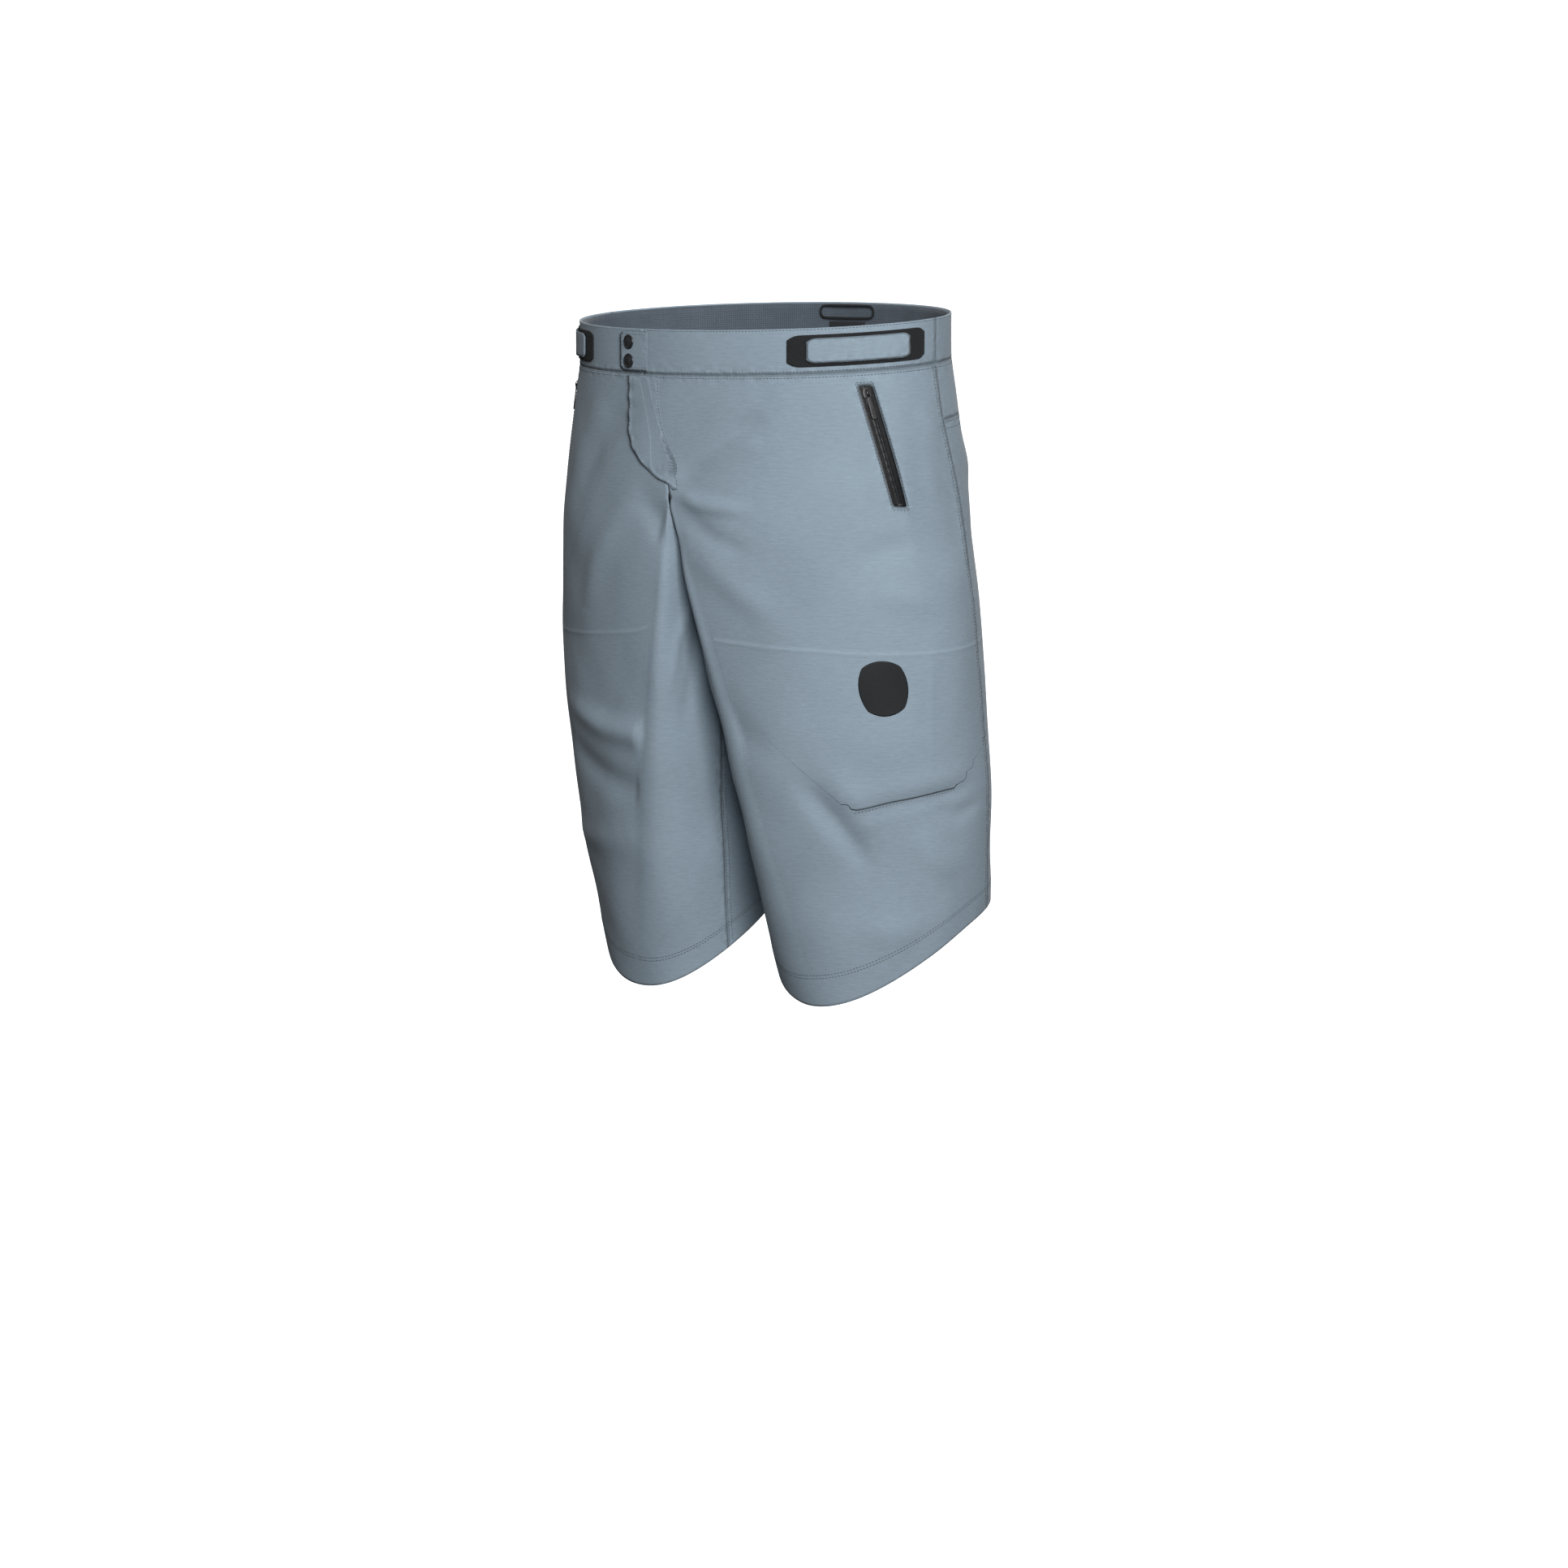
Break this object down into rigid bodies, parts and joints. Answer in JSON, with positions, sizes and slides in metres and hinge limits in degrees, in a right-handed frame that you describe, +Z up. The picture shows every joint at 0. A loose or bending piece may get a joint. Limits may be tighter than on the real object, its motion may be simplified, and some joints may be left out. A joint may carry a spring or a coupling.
{
  "type": "trail over-shorts",
  "caption": "Knee-length zip-pocket riding over-shorts in worn shape, with fly, snaps, waist adjusters and pocket bags.",
  "frame": {"origin": "centre of the waist opening, level with the waistband's front top edge", "axes": "+Z up towards the wearer's head, -Y the wearer's front, +X the wearer's left"},
  "size_m": [0.442, 0.2757, 0.6261],
  "materials": {
    "shell_fabric": "matte plain weave with stretch",
    "lining_fabric": "fine mesh",
    "zip_tape": "coated tape",
    "zip_metal": "satin black",
    "snap_metal": "gunmetal",
    "black_webbing": "woven",
    "label_fabric": "satin weave, blank",
    "print_ink": "matte transfer film",
    "thread": "twisted thread"
  },
  "bodies": {
    "shorts": {"front_panel_left": "shell_fabric", "back_panel_left": "shell_fabric", "hem_facing_left": "shell_fabric", "pocket_zip_left_tape_a": "zip_tape", "pocket_zip_left_tape_b": "zip_tape", "pocket_zip_left_bottom_stop": "zip_metal", "pocket_bag_left": "lining_fabric", "front_panel_right": "shell_fabric", "back_panel_right": "shell_fabric", "hem_facing_right": "shell_fabric", "pocket_zip_right_tape_a": "zip_tape", "pocket_zip_right_tape_b": "zip_tape", "pocket_zip_right_bottom_stop": "zip_metal", "pocket_bag_right": "lining_fabric", "back_yoke": "shell_fabric", "waistband_front_left": "shell_fabric", "waistband_front_right": "shell_fabric", "waistband_back": "shell_fabric", "waistband_lining": "lining_fabric", "fly_shield": "lining_fabric", "fly_zip_tape_a": "zip_tape", "fly_zip_tape_b": "zip_tape", "fly_zip_bottom_stop": "zip_metal", "snap_stud_upper": "snap_metal", "snap_stud_lower": "snap_metal", "adjuster_loop_left": "black_webbing", "adjuster_loop_right": "black_webbing", "thigh_print": "print_ink", "hanger_loop": "black_webbing", "blank_label": "label_fabric"},
    "pocket_zip_left_slider": {"pocket_zip_left_slider": "zip_metal"},
    "pocket_zip_left_puller": {"pocket_zip_left_puller": "zip_metal"},
    "pocket_zip_right_slider": {"pocket_zip_right_slider": "zip_metal"},
    "pocket_zip_right_puller": {"pocket_zip_right_puller": "zip_metal"},
    "fly_zip_slider": {"fly_zip_slider": "zip_metal"},
    "fly_zip_puller": {"fly_zip_puller": "zip_metal"},
    "fly_flap": {"fly_flap": "shell_fabric", "waist_tab": "shell_fabric", "snap_cap_upper": "snap_metal", "snap_cap_lower": "snap_metal"},
    "adjuster_left": {"adjuster_tab_left": "shell_fabric"},
    "adjuster_right": {"adjuster_tab_right": "shell_fabric"}
  },
  "joints": [
    {"name": "pocket_zip_left_slide", "type": "slide", "parent": "shorts", "child": "pocket_zip_left_slider", "axis": [0.2587, 0.1363, -0.9563], "range_m": [0, 0.0949]},
    {"name": "pocket_zip_left_puller_swing", "type": "hinge", "parent": "pocket_zip_left_slider", "child": "pocket_zip_left_puller", "pos_m": [0.16797, -0.06539, -0.05412], "axis": [-0.5306, -0.8072, -0.2586], "range_deg": [0, 150]},
    {"name": "pocket_zip_right_slide", "type": "slide", "parent": "shorts", "child": "pocket_zip_right_slider", "axis": [-0.2587, 0.1363, -0.9563], "range_m": [0, 0.0949]},
    {"name": "pocket_zip_right_puller_swing", "type": "hinge", "parent": "pocket_zip_right_slider", "child": "pocket_zip_right_puller", "pos_m": [-0.16797, -0.06539, -0.05412], "axis": [-0.5306, 0.8072, 0.2586], "range_deg": [0, 150]},
    {"name": "fly_zip_slide", "type": "slide", "parent": "shorts", "child": "fly_zip_slider", "axis": [0.3297, -0.058, -0.9423], "range_m": [0, 0.0567]},
    {"name": "fly_zip_puller_swing", "type": "hinge", "parent": "fly_zip_slider", "child": "fly_zip_puller", "pos_m": [-0.02975, -0.12881, -0.05177], "axis": [-0.9419, 0.0475, -0.3325], "range_deg": [0, 5]},
    {"name": "fly_flap_fold", "type": "hinge", "parent": "shorts", "child": "fly_flap", "pos_m": [-0.0008, -0.1349, -0.0855], "axis": [-0.2063, 0.0377, 0.9778], "range_deg": [0, 85]},
    {"name": "adjuster_left_slide_round", "type": "hinge", "parent": "shorts", "child": "adjuster_left", "pos_m": [0.061, 0.0166, 0], "axis": [0, 0, 1], "range_deg": [-3, 4]},
    {"name": "adjuster_right_slide_round", "type": "hinge", "parent": "shorts", "child": "adjuster_right", "pos_m": [-0.061, 0.0166, 0], "axis": [0, 0, 1], "range_deg": [-4, 3]}
  ]
}
